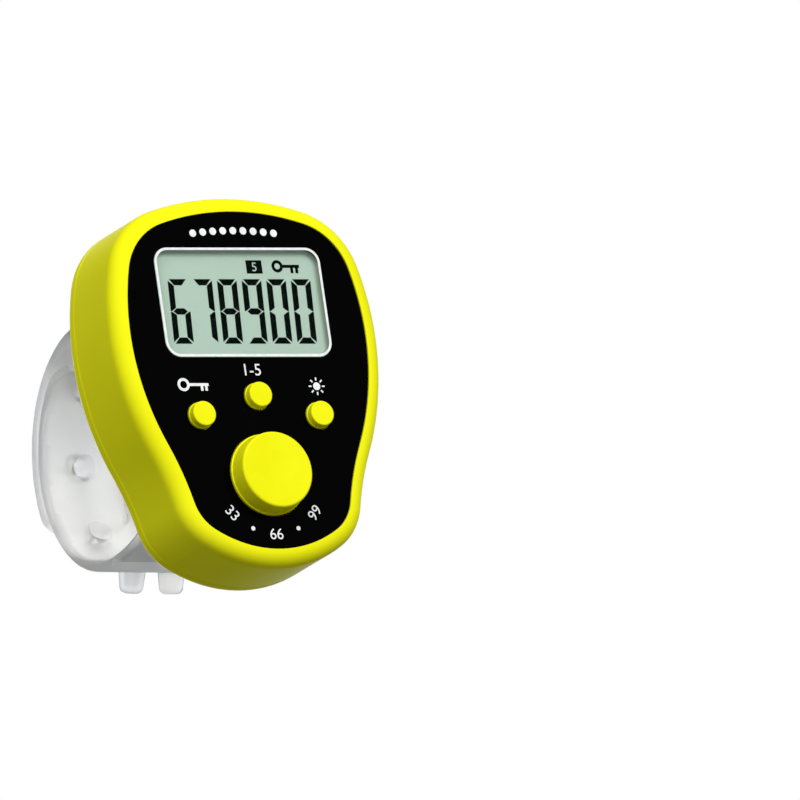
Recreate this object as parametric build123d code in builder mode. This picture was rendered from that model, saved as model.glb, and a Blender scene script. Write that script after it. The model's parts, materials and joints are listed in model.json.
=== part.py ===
from build123d import *
import os
from math import cos, radians, sin, sqrt

# Digital tasbih counter, worn on a finger
# Millimetres. X is to the right, Y runs from the face to the back and Z is up.
# The origin is the middle of the finger loop.

# Case outline, seen from the front
case_height = 40.0
case_width = 31.5
top_arc_radius = 29.75
shoulder_radius = 8.65
widest_level = 4.9
waist_radius = 30.6
foot_corner_radius = 6.45
foot_half_width = 11.17
foot_flare = 1.91
bottom_arc_radius = 15.15

# Case walls and rim
case_wall = 1.6
front_wall = 0.7
rim_width = 1.75
rim_round = 1.6
rear_edge = 1.6
rear_wall = 1.2
back_round = 0.8
parting_chamfer = 0.15
lip_thickness = 0.8
lip_height = 0.8
lip_clearance = 0.1

# Shared clearances and the overrun of cuts
fit_clearance = 0.05
slide_clearance = 0.12
stop_clearance = 0.02
overrun = 0.5

# Face panel and display window
panel_recess = 0.15
panel_thickness = 0.4
window_side_margin = 5.85
window_top_margin = 5.57
window_bottom_margin = 22.53
window_corner = 1.7
window_ledge = 0.3

# Liquid crystal display and its light
polariser_thickness = 0.3
lcd_glass = 0.7
lcd_side_border = 0.7
lcd_top_border = 0.5
lcd_ledge = 1.7
lcd_seal = 0.4
reflector_thickness = 0.2
guide_thickness = 1.8
guide_inset = 0.6
zebra_width = 1.1
rib_thickness = 0.7
led_width = 0.9
led_length = 1.8
led_height = 0.9

# Circuit board
board_thickness = 1.0
board_clearance = 0.3
blob_diameter = 7.0
blob_height = 1.1
blob_rise = 8.0
chip_length = 1.6
chip_width = 0.8
chip_height = 0.45
chip_pitch = 2.2
chip_count = 4
chip_drop = 7.0

# Battery
cell_height = 3.05
cell_edge_round = 0.35
cell_spacing = 0.5
cell_level = 2.5
cell_room = 0.15
well_side_gap = 1.35
cell_gap = 0.6
contact_thickness = 0.2
contact_width = 3.0
contact_pad = 2.2
contact_arm = 2.6
link_thickness = 0.15
link_width = 4.0
door_thickness = 0.75
door_ledge = 0.8
door_margin = 0.65
well_wall = 0.8
well_height = 2.2
ear_radius = 2.0
ear_offset = 1.35
hook_width = 2.4
hook_reach = 0.85
hook_thickness = 0.4

# Screws
boss_diameter = 3.2
post_diameter = 2.4
screw_diameter = 1.5
screw_length = 5.2
screw_head_diameter = 2.8
screw_head_height = 0.8
screw_head_room = 0.15
top_boss_spread = 6.5
top_boss_drop = 3.3
foot_boss_spread = 7.4
foot_boss_rise = 5.2
door_screw_diameter = 1.2
door_screw_length = 2.0
door_screw_head = 2.2
door_screw_head_height = 0.4
recess_share = 0.6
recess_width = 0.4

# Buttons
count_base = 8.75
count_top = 8.14
count_height = 2.2
count_round = 0.25
count_skirt = 0.1
count_flange = 10.2
count_travel = 1.0
count_rise = 9.76
small_base = 2.84
small_top = 2.66
small_height = 1.0
small_round = 0.15
small_skirt = 0.06
small_flange = 4.0
small_travel = 0.5
side_button_spread = 7.0
side_button_drop = 6.35
channel_button_drop = 4.28
flange_thickness = 0.8
skirt_height = 0.14

# Rubber keypad under the buttons
mat_thickness = 0.4
mat_margin = 0.5
dome_wall = 0.4
pill_thickness = 0.4
count_dome_base = 8.4
count_dome_top = 4.4
count_pill = 2.6
small_dome_base = 3.8
small_dome_top = 2.4
small_pill = 1.3

# Finger loop
loop_to_back = 16.0
band_width = 10.0
lower_thickness = 1.1
upper_thickness = 1.3
layer_gap = 0.1
band_edge_round = 0.3
upper_tip_angle = -23.0
lower_tip_angle = -64.0
upper_tip_corner = 2.0
lower_tip_corner = 2.8
lower_root_slope = 16.5
gusset_drop = 2.8
gusset_reach = 10.0
gusset_round = 5.0
pocket_depth = 1.0
pocket_lip = 0.4
pocket_end = 0.5
stem_width = 8.0
stem_shoulder = 0.6
foot_lip = 0.6
foot_thickness = 0.9

# Pegs of the lower band and the holes of the upper one
peg_pitch_angle = 38.0
peg_first_angle = -106.0
peg_count = 5
peg_root = 2.8
peg_tip = 2.5
peg_length = 2.3
peg_tip_round = 0.7
peg_mouth = 3.0
peg_throat = 1.7
peg_core_end = 1.2
peg_skin = 0.8
strap_hole = 3.0

# Depth levels, from the back of the case forward to the rim
back_y = -loop_to_back
parting_y = back_y - rear_edge
rear_inner_y = back_y - rear_wall
door_inner_y = back_y - door_thickness
cell_back_y = door_inner_y - link_thickness
cell_front_y = cell_back_y - cell_height
board_back_y = cell_front_y - cell_gap
board_front_y = board_back_y - board_thickness
reflector_back_y = board_front_y - guide_thickness
glass_back_y = reflector_back_y - reflector_thickness
glass_seam_y = glass_back_y - lcd_glass
wall_back_y = glass_seam_y - lcd_glass
panel_back_y = wall_back_y - front_wall
panel_front_y = panel_back_y - panel_thickness
front_y = panel_front_y - panel_recess

# Places on the face
window_width = case_width - 2 * window_side_margin
window_top = case_height / 2 - window_top_margin
window_bottom = window_bottom_margin - case_height / 2
window_height = window_top - window_bottom
window_level = (window_top + window_bottom) / 2
count_place = (0, count_rise - case_height / 2)
channel_place = (0, window_bottom - channel_button_drop)
lock_place = (-side_button_spread, window_bottom - side_button_drop)
light_place = (side_button_spread, window_bottom - side_button_drop)
small_places = [lock_place, channel_place, light_place]

# Display glass, which reaches below the window with its contact ledge
lcd_width = window_width + 2 * lcd_side_border
lcd_top = window_top + lcd_top_border
lcd_seal_bottom = window_bottom - lcd_seal
lcd_bottom = lcd_seal_bottom - lcd_ledge

# Places of screws and cells
boss_places = [
    (top_boss_spread, case_height / 2 - top_boss_drop),
    (-top_boss_spread, case_height / 2 - top_boss_drop),
    (foot_boss_spread, foot_boss_rise - case_height / 2),
    (-foot_boss_spread, foot_boss_rise - case_height / 2),
]
# Two cells side by side fill the inner width of the case
cell_diameter = case_width / 2 - case_wall - well_side_gap - well_wall - cell_room - cell_spacing / 2
cell_offset = (cell_diameter + cell_spacing) / 2
well_radius = cell_diameter / 2 + cell_room
door_radius = well_radius + door_ledge
ear_place = (0, cell_level - door_radius - ear_offset)
chip_level = case_height / 2 - chip_drop

# Radii of the two layers of the loop, whose roots clear the battery door
loop_radius = cell_level + door_radius + door_margin + gusset_drop - lower_thickness - layer_gap
gusset_radius = (gusset_reach**2 + gusset_drop**2) / (2 * gusset_drop)
lower_outer = loop_radius + lower_thickness
upper_inner = lower_outer + layer_gap
upper_outer = upper_inner + upper_thickness


# Planes square to the depth, seen from the front


def level(depth):
    """Plane at this Y, with X and Z as its axes and its normal towards the face."""
    return Plane.XZ.offset(-depth)


# Outline of the case


def circles_meet(centre_a, radius_a, centre_b, radius_b, side):
    """Point at both distances from two centres, on the left (1) or right (-1) of the line a to b."""
    line = centre_b - centre_a
    along = (radius_a**2 - radius_b**2 + line.length**2) / (2 * line.length)
    across = sqrt(radius_a**2 - along**2)
    unit = line.normalized()
    return centre_a + unit * along + Vector(-unit.Y, unit.X) * (across * side)


top_centre = Vector(0, case_height / 2 - top_arc_radius)
bottom_centre = Vector(0, bottom_arc_radius - case_height / 2)
corner_x = foot_half_width - foot_corner_radius
corner_drop = sqrt((bottom_arc_radius - foot_corner_radius) ** 2 - corner_x**2)
corner_centre = Vector(corner_x, bottom_centre.Y - corner_drop)
# The side arc is as round as lets the foot corner stand out from it by the flare
widest_point = Vector(case_width / 2, widest_level)
foot_run = corner_centre - widest_point
foot_hidden = foot_corner_radius - foot_flare
side_arc_radius = (foot_run.length**2 - foot_hidden**2) / (-2 * (foot_run.X + foot_hidden))
side_centre = Vector(case_width / 2 - side_arc_radius, widest_level)
shoulder_centre = circles_meet(
    top_centre, top_arc_radius - shoulder_radius, side_centre, side_arc_radius - shoulder_radius, -1
)
waist_centre = circles_meet(
    side_centre, side_arc_radius + waist_radius, corner_centre, foot_corner_radius + waist_radius, 1
)


def toward(start, goal, distance):
    """Point this far from start on the way to goal."""
    return start + (goal - start).normalized() * distance


def arc_points(centre, start, end):
    """Start, middle and end of the short arc about a centre."""
    radius = (start - centre).length
    middle = (start - centre).normalized() + (end - centre).normalized()
    return start, centre + middle.normalized() * radius, end


def case_outline(inset):
    """Face bounded by the case outline, moved inwards by inset: tangent arcs, mirrored."""
    top = Vector(0, case_height / 2 - inset)
    shoulder_start = toward(top_centre, shoulder_centre, top_arc_radius - inset)
    side_start = toward(side_centre, shoulder_centre, side_arc_radius - inset)
    waist_start = toward(side_centre, waist_centre, side_arc_radius - inset)
    corner_start = toward(corner_centre, waist_centre, foot_corner_radius - inset)
    bottom_start = toward(bottom_centre, corner_centre, bottom_arc_radius - inset)
    bottom = Vector(0, inset - case_height / 2)
    with BuildSketch() as outline:
        with BuildLine():
            ThreePointArc(*arc_points(top_centre, top, shoulder_start))
            ThreePointArc(*arc_points(shoulder_centre, shoulder_start, side_start))
            ThreePointArc(*arc_points(side_centre, side_start, waist_start))
            ThreePointArc(*arc_points(waist_centre, waist_start, corner_start))
            ThreePointArc(*arc_points(corner_centre, corner_start, bottom_start))
            ThreePointArc(*arc_points(bottom_centre, bottom_start, bottom))
            mirror(about=Plane.YZ)
        make_face()
    return outline.sketch


def window_face(grow):
    """Rounded window outline, larger by grow on each side."""
    with BuildSketch() as window:
        with Locations((0, window_level)):
            RectangleRounded(
                window_width + 2 * grow, window_height + 2 * grow, window_corner + grow
            )
    return window.sketch


def cell_pair_face(radius):
    """Slot shape that runs round both button cells."""
    with BuildSketch() as pair:
        with Locations((0, cell_level)):
            SlotCenterToCenter(2 * cell_offset, 2 * radius)
    return pair.sketch


def door_face(grow):
    """Outline of the battery door with its screw ear, larger by grow all round."""
    with BuildSketch() as door:
        add(cell_pair_face(door_radius + grow))
        with Locations(ear_place):
            Circle(ear_radius + grow)
        with Locations((0, (cell_level + ear_place[1]) / 2)):
            Rectangle(2 * (ear_radius + grow), cell_level - ear_place[1])
    return door.sketch


parts = {}

# Front case: outer shell with its rounded rim, open at the back
with BuildPart() as front_case:
    with BuildSketch(level(parting_y)):
        add(case_outline(0))
    extrude(amount=parting_y - front_y)
    fillet(front_case.faces().sort_by(Axis.Y)[0].edges(), rim_round)
    chamfer(front_case.faces().sort_by(Axis.Y)[-1].edges(), parting_chamfer)
    with BuildSketch(level(parting_y)):
        add(case_outline(case_wall))
    extrude(amount=parting_y - wall_back_y, mode=Mode.SUBTRACT)
    with BuildSketch(level(panel_back_y)):
        add(case_outline(rim_width))
    extrude(amount=panel_back_y - front_y + overrun, mode=Mode.SUBTRACT)
    # Bosses carry the board on their shoulders and take the case screws
    with BuildSketch(level(board_front_y)):
        with Locations(*boss_places):
            Circle(boss_diameter / 2)
    extrude(amount=board_front_y - wall_back_y)
    with BuildSketch(level(parting_y)):
        with Locations(*boss_places):
            Circle(post_diameter / 2)
    extrude(amount=parting_y - board_front_y)
    with BuildSketch(level(parting_y)):
        with Locations(*boss_places):
            Circle(screw_diameter / 2 + stop_clearance)
    extrude(amount=screw_length, mode=Mode.SUBTRACT)
    # Ribs hold the display glass at its sides
    with BuildSketch(level(glass_back_y)):
        with GridLocations(lcd_width + 2 * slide_clearance + rib_thickness, 0, 2, 1):
            with Locations((0, window_level)):
                Rectangle(rib_thickness, window_height - 2 * window_corner)
    extrude(amount=glass_back_y - wall_back_y)
    # Window and button holes through the front wall
    with BuildSketch(level(wall_back_y + overrun)):
        add(window_face(window_ledge))
        with Locations(count_place):
            Circle(count_base / 2 + slide_clearance)
        with Locations(*small_places):
            Circle(small_base / 2 + slide_clearance)
    extrude(amount=front_wall + 2 * overrun, mode=Mode.SUBTRACT)
parts["front_case"] = front_case

# Rear cover: plate with a lip, battery well, strap slots and screw seats
stem_upper_low = upper_inner - gusset_drop + stem_shoulder
stem_upper_high = upper_outer - stem_shoulder
stem_lower_low = loop_radius - gusset_drop + stem_shoulder
stem_lower_high = lower_outer - stem_shoulder
slot_places = [
    ((stem_upper_low + stem_upper_high) / 2, stem_upper_high - stem_upper_low),
    (-(stem_lower_low + stem_lower_high) / 2, stem_lower_high - stem_lower_low),
]
hook_level = cell_level + well_radius + door_ledge / 2


def feet_face(grow):
    """Feet of the two strap stems, larger by grow on each side."""
    with BuildSketch() as feet:
        for foot_level, stem_height in slot_places:
            with Locations((0, foot_level)):
                Rectangle(stem_width + 2 * (foot_lip + grow), stem_height + 2 * (foot_lip + grow))
    return feet.sketch


with BuildPart() as rear_cover:
    with BuildSketch(level(back_y)):
        add(case_outline(0))
    extrude(amount=rear_edge)
    fillet(rear_cover.faces().sort_by(Axis.Y)[-1].edges(), back_round)
    chamfer(rear_cover.faces().sort_by(Axis.Y)[0].edges(), parting_chamfer)
    with BuildSketch(level(rear_inner_y)):
        add(case_outline(case_wall + lip_clearance + lip_thickness))
        with Locations(*boss_places):
            Circle(boss_diameter / 2, mode=Mode.SUBTRACT)
        add(feet_face(slide_clearance))
    extrude(amount=rear_inner_y - parting_y, mode=Mode.SUBTRACT)
    # Lip that enters the front case, broken at the screw posts and clear of the strap feet
    with BuildSketch(level(parting_y)):
        add(case_outline(case_wall + lip_clearance))
        add(case_outline(case_wall + lip_clearance + lip_thickness), mode=Mode.SUBTRACT)
        with Locations(*boss_places):
            Circle(boss_diameter / 2, mode=Mode.SUBTRACT)
        add(feet_face(slide_clearance), mode=Mode.SUBTRACT)
    extrude(amount=lip_height)
    # Battery well and the post of the door's screw
    with BuildSketch(level(rear_inner_y)):
        add(cell_pair_face(well_radius + well_wall))
        with Locations(ear_place):
            Circle(ear_radius)
    extrude(amount=well_height)
    with BuildSketch(level(back_y + overrun)):
        add(cell_pair_face(well_radius))
    extrude(amount=well_height + rear_wall + 2 * overrun, mode=Mode.SUBTRACT)
    with BuildSketch(level(back_y + overrun)):
        add(door_face(fit_clearance))
    extrude(amount=door_thickness + overrun, mode=Mode.SUBTRACT)
    with BuildSketch(level(back_y)):
        with Locations(ear_place):
            Circle(door_screw_diameter / 2 + stop_clearance)
    extrude(amount=door_screw_length + door_thickness, mode=Mode.SUBTRACT)
    # Notches for the two hooks of the door
    with BuildSketch(level(door_inner_y)):
        with GridLocations(2 * cell_offset, 0, 2, 1):
            with Locations((0, hook_level)):
                Rectangle(hook_width + 2 * slide_clearance, door_ledge + 2 * fit_clearance)
    extrude(amount=well_height + overrun, mode=Mode.SUBTRACT)
    # Slots for the strap stems
    with BuildSketch(level(back_y + overrun)):
        for slot_level, slot_height in slot_places:
            with Locations((0, slot_level)):
                Rectangle(stem_width + 2 * fit_clearance, slot_height + 2 * fit_clearance)
    extrude(amount=rear_wall + 2 * overrun, mode=Mode.SUBTRACT)
    # Screw seats
    with BuildSketch(level(back_y + overrun)):
        with Locations(*boss_places):
            Circle(screw_diameter / 2 + slide_clearance)
    extrude(amount=rear_edge + 2 * overrun, mode=Mode.SUBTRACT)
    with BuildSketch(level(back_y + overrun)):
        with Locations(*boss_places):
            Circle(screw_head_diameter / 2 + screw_head_room)
    extrude(amount=screw_head_height + overrun, mode=Mode.SUBTRACT)
parts["rear_cover"] = rear_cover

# Face panel: glossy plate with the window and the button holes
with BuildPart() as face_panel:
    with BuildSketch(level(panel_back_y)):
        add(case_outline(rim_width + fit_clearance))
        add(window_face(0), mode=Mode.SUBTRACT)
        with Locations(count_place):
            Circle(count_base / 2 + slide_clearance, mode=Mode.SUBTRACT)
        with Locations(*small_places):
            Circle(small_base / 2 + slide_clearance, mode=Mode.SUBTRACT)
    extrude(amount=panel_thickness)
parts["face_panel"] = face_panel

# Display window: clear plate with a flange that the panel holds down
polariser_front_y = wall_back_y - polariser_thickness
with BuildPart() as display_window:
    with BuildSketch(level(polariser_front_y)):
        add(window_face(window_ledge - fit_clearance))
    extrude(amount=polariser_front_y - panel_back_y)
    with BuildSketch(level(panel_back_y)):
        add(window_face(-fit_clearance))
    extrude(amount=panel_thickness)
parts["display_window"] = display_window

# Display sandwich: polariser, two glasses and the reflector
with BuildPart() as lcd_polariser:
    with BuildSketch(level(wall_back_y)):
        add(window_face(window_ledge - fit_clearance))
    extrude(amount=polariser_thickness)
parts["lcd_polariser"] = lcd_polariser

with BuildPart() as lcd_front_glass:
    with BuildSketch(level(glass_seam_y)):
        with Locations((0, (lcd_top + lcd_bottom) / 2)):
            Rectangle(lcd_width, lcd_top - lcd_bottom)
    extrude(amount=lcd_glass)
parts["lcd_front_glass"] = lcd_front_glass

with BuildPart() as lcd_rear_glass:
    with BuildSketch(level(glass_back_y)):
        with Locations((0, (lcd_top + lcd_seal_bottom) / 2)):
            Rectangle(lcd_width, lcd_top - lcd_seal_bottom)
    extrude(amount=lcd_glass)
parts["lcd_rear_glass"] = lcd_rear_glass

with BuildPart() as lcd_reflector:
    with BuildSketch(level(reflector_back_y)):
        with Locations((0, (lcd_top + lcd_seal_bottom) / 2)):
            Rectangle(lcd_width - 2 * lcd_seal, lcd_top - lcd_seal_bottom - 2 * lcd_seal)
    extrude(amount=reflector_thickness)
parts["lcd_reflector"] = lcd_reflector

# Light guide behind the display, lit from its two ends
guide_width = lcd_width - 2 * guide_inset
guide_height = lcd_top - lcd_seal_bottom - 2 * guide_inset
with BuildPart() as light_guide:
    with BuildSketch(level(board_front_y)):
        with Locations((0, (lcd_top + lcd_seal_bottom) / 2)):
            Rectangle(guide_width, guide_height)
    extrude(amount=guide_thickness)
parts["light_guide"] = light_guide

with BuildPart() as backlight_leds:
    with BuildSketch(level(board_front_y)):
        with GridLocations(guide_width + 2 * fit_clearance + led_width, 0, 2, 1):
            with Locations((0, window_level)):
                Rectangle(led_width, led_length)
    extrude(amount=led_height)
parts["backlight_leds"] = backlight_leds

# Zebra connector between the glass ledge and the board
zebra_level = (lcd_seal_bottom + lcd_bottom) / 2
with BuildPart() as zebra_connector:
    with BuildSketch(level(board_front_y)):
        with Locations((0, zebra_level)):
            Rectangle(guide_width, zebra_width)
    extrude(amount=board_front_y - glass_seam_y)
parts["zebra_connector"] = zebra_connector

# Circuit board, notched round the screw posts
with BuildPart() as circuit_board:
    with BuildSketch(level(board_back_y)):
        add(case_outline(case_wall + board_clearance))
        with Locations(*boss_places):
            Circle(post_diameter / 2 + slide_clearance, mode=Mode.SUBTRACT)
    extrude(amount=board_thickness)
parts["circuit_board"] = circuit_board

# Chip under its drop of epoxy, and the small parts beside it
blob_bulge = (blob_diameter**2 / 4 + blob_height**2) / (2 * blob_height)
blob_level = blob_rise - case_height / 2
with BuildPart() as chip_blob:
    with BuildSketch(Plane((0, board_back_y, blob_level), x_dir=(1, 0, 0), z_dir=(0, 0, 1))):
        with BuildLine():
            Line((0, 0), (blob_diameter / 2, 0))
            RadiusArc((blob_diameter / 2, 0), (0, blob_height), -blob_bulge)
            Line((0, blob_height), (0, 0))
        make_face()
    revolve(axis=Axis((0, board_back_y, blob_level), (0, 1, 0)))
parts["chip_blob"] = chip_blob

with BuildPart() as chip_components:
    with BuildSketch(level(board_back_y + chip_height)):
        with Locations((0, chip_level)):
            with GridLocations(chip_pitch, 0, chip_count, 1):
                Rectangle(chip_width, chip_length)
    extrude(amount=chip_height)
parts["chip_components"] = chip_components

# Rubber keypad: mat with a hollow dome under each button
buttons = [
    ("count", count_place, count_travel),
    ("lock", lock_place, small_travel),
    ("channel", channel_place, small_travel),
    ("light", light_place, small_travel),
]


def dome_sizes(name):
    """Base, top and pill diameter of the dome under a button."""
    if name == "count":
        return count_dome_base, count_dome_top, count_pill
    return small_dome_base, small_dome_top, small_pill


def dome_height(travel):
    """Height of a dome above the board: pill, its way down and the skin over it."""
    return travel + stop_clearance + pill_thickness + dome_wall


with BuildPart() as keypad:
    with BuildSketch(level(board_front_y)):
        for name, place, travel in buttons:
            with Locations(place):
                Circle(dome_sizes(name)[0] / 2 + mat_margin)
        make_hull()
    extrude(amount=mat_thickness)
    for name, place, travel in buttons:
        base, top, pill = dome_sizes(name)
        height = dome_height(travel)
        with BuildSketch(level(board_front_y)):
            with Locations(place):
                Circle(base / 2)
        with BuildSketch(level(board_front_y - height)):
            with Locations(place):
                Circle(top / 2)
        loft()
        with BuildSketch(level(board_front_y)):
            with Locations(place):
                Circle(base / 2 - dome_wall)
        with BuildSketch(level(board_front_y - height + dome_wall)):
            with Locations(place):
                Circle(top / 2 - dome_wall)
        loft(mode=Mode.SUBTRACT)
parts["keypad"] = keypad

# Buttons: cap with a low skirt, flange behind the front wall and plunger down to the dome
for name, place, travel in buttons:
    is_count = name == "count"
    cap_base = count_base if is_count else small_base
    cap_top = count_top if is_count else small_top
    cap_height = count_height if is_count else small_height
    cap_round = count_round if is_count else small_round
    skirt = count_skirt if is_count else small_skirt
    flange = count_flange if is_count else small_flange
    base, top, pill = dome_sizes(name)
    cap_y = panel_front_y - cap_height
    flange_y = wall_back_y + flange_thickness
    dome_y = board_front_y - dome_height(travel)
    pill_y = board_front_y - travel - stop_clearance
    with BuildPart() as button:
        with BuildSketch(level(panel_front_y)):
            with Locations(place):
                Circle(cap_base / 2 - skirt)
        with BuildSketch(level(cap_y)):
            with Locations(place):
                Circle(cap_top / 2)
        loft()
        fillet(button.faces().sort_by(Axis.Y)[0].edges(), cap_round)
        with BuildSketch(level(wall_back_y)):
            with Locations(place):
                Circle(cap_base / 2)
        extrude(amount=wall_back_y - panel_front_y + skirt_height)
        with BuildSketch(level(flange_y)):
            with Locations(place):
                Circle(flange / 2)
        extrude(amount=flange_thickness)
        with BuildSketch(level(dome_y)):
            with Locations(place):
                Circle(top / 2 - dome_wall)
        extrude(amount=dome_y - flange_y)
    parts[name + "_button"] = button
    with BuildPart() as carbon_pill:
        with BuildSketch(level(pill_y)):
            with Locations(place):
                Circle(pill / 2)
        extrude(amount=pill_thickness)
    parts[name + "_pill"] = carbon_pill

# Button cells, one turned over so that the link joins them in series
for side, sign in (("left", -1), ("right", 1)):
    with BuildPart() as cell:
        with BuildSketch(level(cell_back_y)):
            with Locations((sign * cell_offset, cell_level)):
                Circle(cell_diameter / 2)
        extrude(amount=cell_height)
        fillet(cell.edges().filter_by(GeomType.CIRCLE), cell_edge_round)
    parts[side + "_cell"] = cell

# Leaf contacts between the board and the cells, mirror images of each other
leaf_low = board_back_y + contact_thickness / 2
leaf_high = cell_front_y - contact_thickness / 2
for side, sign in (("positive", -1), ("negative", 1)):
    with BuildPart() as contact:
        with BuildSketch(Plane.XY.offset(cell_level)):
            with BuildLine():
                Polyline(
                    (sign * cell_offset, leaf_low),
                    (sign * (cell_offset + contact_pad), leaf_low),
                    (sign * (cell_offset + contact_pad - cell_gap), leaf_high),
                    (sign * (cell_offset + contact_pad - cell_gap - contact_arm), leaf_high),
                )
            trace(line_width=contact_thickness)
        extrude(amount=contact_width / 2, both=True)
    parts[side + "_contact"] = contact

with BuildPart() as link_contact:
    with BuildSketch(level(door_inner_y)):
        with Locations((0, cell_level)):
            Rectangle(2 * cell_offset + link_width, link_width)
    extrude(amount=link_thickness)
parts["link_contact"] = link_contact

# Battery door with a screw ear and two hooks under the rear wall
hook_y = rear_inner_y - fit_clearance
with BuildPart() as battery_door:
    with BuildSketch(level(back_y)):
        add(door_face(0))
    extrude(amount=door_thickness)
    with BuildSketch(level(back_y)):
        with Locations(ear_place):
            Circle(door_screw_diameter / 2 + fit_clearance)
    extrude(amount=door_thickness, mode=Mode.SUBTRACT)
    with BuildSketch(level(back_y)):
        with Locations(ear_place):
            Circle(door_screw_head / 2 + fit_clearance)
    extrude(amount=door_screw_head_height, mode=Mode.SUBTRACT)
    with BuildSketch(level(door_inner_y)):
        with GridLocations(2 * cell_offset, 0, 2, 1):
            with Locations((0, hook_level)):
                Rectangle(hook_width, door_ledge - 2 * fit_clearance)
    extrude(amount=door_inner_y - hook_y + hook_thickness)
    with BuildSketch(level(hook_y)):
        with GridLocations(2 * cell_offset, 0, 2, 1):
            with Locations((0, hook_level + hook_reach / 2)):
                Rectangle(hook_width, door_ledge - 2 * fit_clearance + hook_reach)
    extrude(amount=hook_thickness)
parts["battery_door"] = battery_door


def cross_face(places, head):
    """Cross recess for a screwdriver at each place."""
    with BuildSketch() as cross:
        with Locations(*places):
            Rectangle(recess_share * head, recess_width)
            Rectangle(recess_width, recess_share * head)
    return cross.sketch


# Screws: head, shank and cross recess
with BuildPart() as case_screws:
    with BuildSketch(level(back_y)):
        with Locations(*boss_places):
            Circle(screw_head_diameter / 2)
    extrude(amount=screw_head_height)
    with BuildSketch(level(back_y - screw_head_height)):
        with Locations(*boss_places):
            Circle(screw_diameter / 2)
    extrude(amount=screw_length)
    with BuildSketch(level(back_y)):
        add(cross_face(boss_places, screw_head_diameter))
    extrude(amount=screw_head_height / 2, mode=Mode.SUBTRACT)
parts["case_screws"] = case_screws

with BuildPart() as door_screw:
    with BuildSketch(level(back_y)):
        with Locations(ear_place):
            Circle(door_screw_head / 2)
    extrude(amount=door_screw_head_height)
    with BuildSketch(level(back_y - door_screw_head_height)):
        with Locations(ear_place):
            Circle(door_screw_diameter / 2)
    extrude(amount=door_screw_length)
    with BuildSketch(level(back_y)):
        add(cross_face([ear_place], door_screw_head))
    extrude(amount=door_screw_head_height / 2, mode=Mode.SUBTRACT)
parts["door_screw"] = door_screw


# Finger straps


def on_loop(radius, angle, sign):
    """Point on the loop at this angle from straight back, turned over for the lower band."""
    return (radius * cos(radians(angle)), sign * radius * sin(radians(angle)))


def band_face(inner, outer, tip_angle, sign, slope):
    """Side view of a band: from the case to its gusset, round the loop and to its tip."""
    half_way = gusset_reach / 2
    half_drop = gusset_radius - sqrt(gusset_radius**2 - half_way**2)
    tip_middle = (90 + tip_angle) / 2
    root_end = (outer - sin(radians(slope)) * back_y) / cos(radians(slope))
    leaving = on_loop(outer, 90 - slope, sign)
    with BuildSketch() as band:
        with BuildLine():
            Line((back_y, sign * root_end), leaving)
            ThreePointArc(leaving, on_loop(outer, tip_middle, sign), on_loop(outer, tip_angle, sign))
            Line(on_loop(outer, tip_angle, sign), on_loop(inner, tip_angle, sign))
            ThreePointArc(
                on_loop(inner, tip_angle, sign), on_loop(inner, tip_middle, sign), (0, sign * inner)
            )
            ThreePointArc(
                (0, sign * inner),
                (-half_way, sign * (inner - half_drop)),
                (-gusset_reach, sign * (inner - gusset_drop)),
            )
            Line((-gusset_reach, sign * (inner - gusset_drop)), (back_y, sign * (inner - gusset_drop)))
            Line((back_y, sign * (inner - gusset_drop)), (back_y, sign * root_end))
        make_face()
        gusset_end = Vertex(-gusset_reach, sign * (inner - gusset_drop))
        fillet(band.vertices().sort_by_distance(gusset_end)[0], gusset_round)
    return band.sketch


def pocket_face(inner, sign, slope):
    """Side view of the hollow in a gusset, between its curved lip and the sloping band under it."""
    arc_radius = gusset_radius + pocket_lip
    case_end = back_y + pocket_end
    top = sign * (inner - gusset_drop + pocket_lip)
    low_end = sign * (inner - sin(radians(slope)) * case_end) / cos(radians(slope))
    low_start = sign * inner / cos(radians(slope))
    with BuildSketch() as pocket:
        Polygon((case_end, low_end), (0, low_start), (0, top), (case_end, top), align=None)
        with Locations((0, sign * (inner - gusset_radius))):
            Circle(arc_radius, mode=Mode.SUBTRACT)
    return pocket.sketch


def tip_edges(band, radius, angle):
    """The two edges through the thickness of a band at the corners of its tip."""
    across, up = on_loop(radius, angle, 1)
    corners = [Vertex(side * band_width / 2, across, up) for side in (-1, 1)]
    return [band.edges().sort_by_distance(corner)[0] for corner in corners]


def side_edges(band, thickness, tip_corner):
    """The long edges down both sides of a band, round its tip corners, but not at the case."""
    outer_edges = band.edges().filter_by(lambda edge: abs(edge.center().X) > band_width / 4)
    long_edges = outer_edges.filter_by(lambda edge: edge.length > thickness + tip_corner / 4)
    return long_edges.filter_by(lambda edge: edge.center().Y > back_y + fit_clearance)


def radial_plane(radius, angle):
    """Plane on the loop with its normal outwards; past the loop it moves on along the lower root."""
    on_circle = max(angle, lower_root_slope - 90)
    run = radians(on_circle - angle) * lower_outer
    outward = Vector(0, cos(radians(on_circle)), sin(radians(on_circle)))
    along = Vector(0, sin(radians(on_circle)), -cos(radians(on_circle)))
    return Plane(outward * radius + along * run, x_dir=(1, 0, 0), z_dir=outward)


peg_angles = [peg_first_angle + peg_pitch_angle * step for step in range(peg_count)]
hole_angles = peg_angles[-2:] + [peg_angles[-1] + peg_pitch_angle]
foot_y = rear_inner_y - fit_clearance

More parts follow.
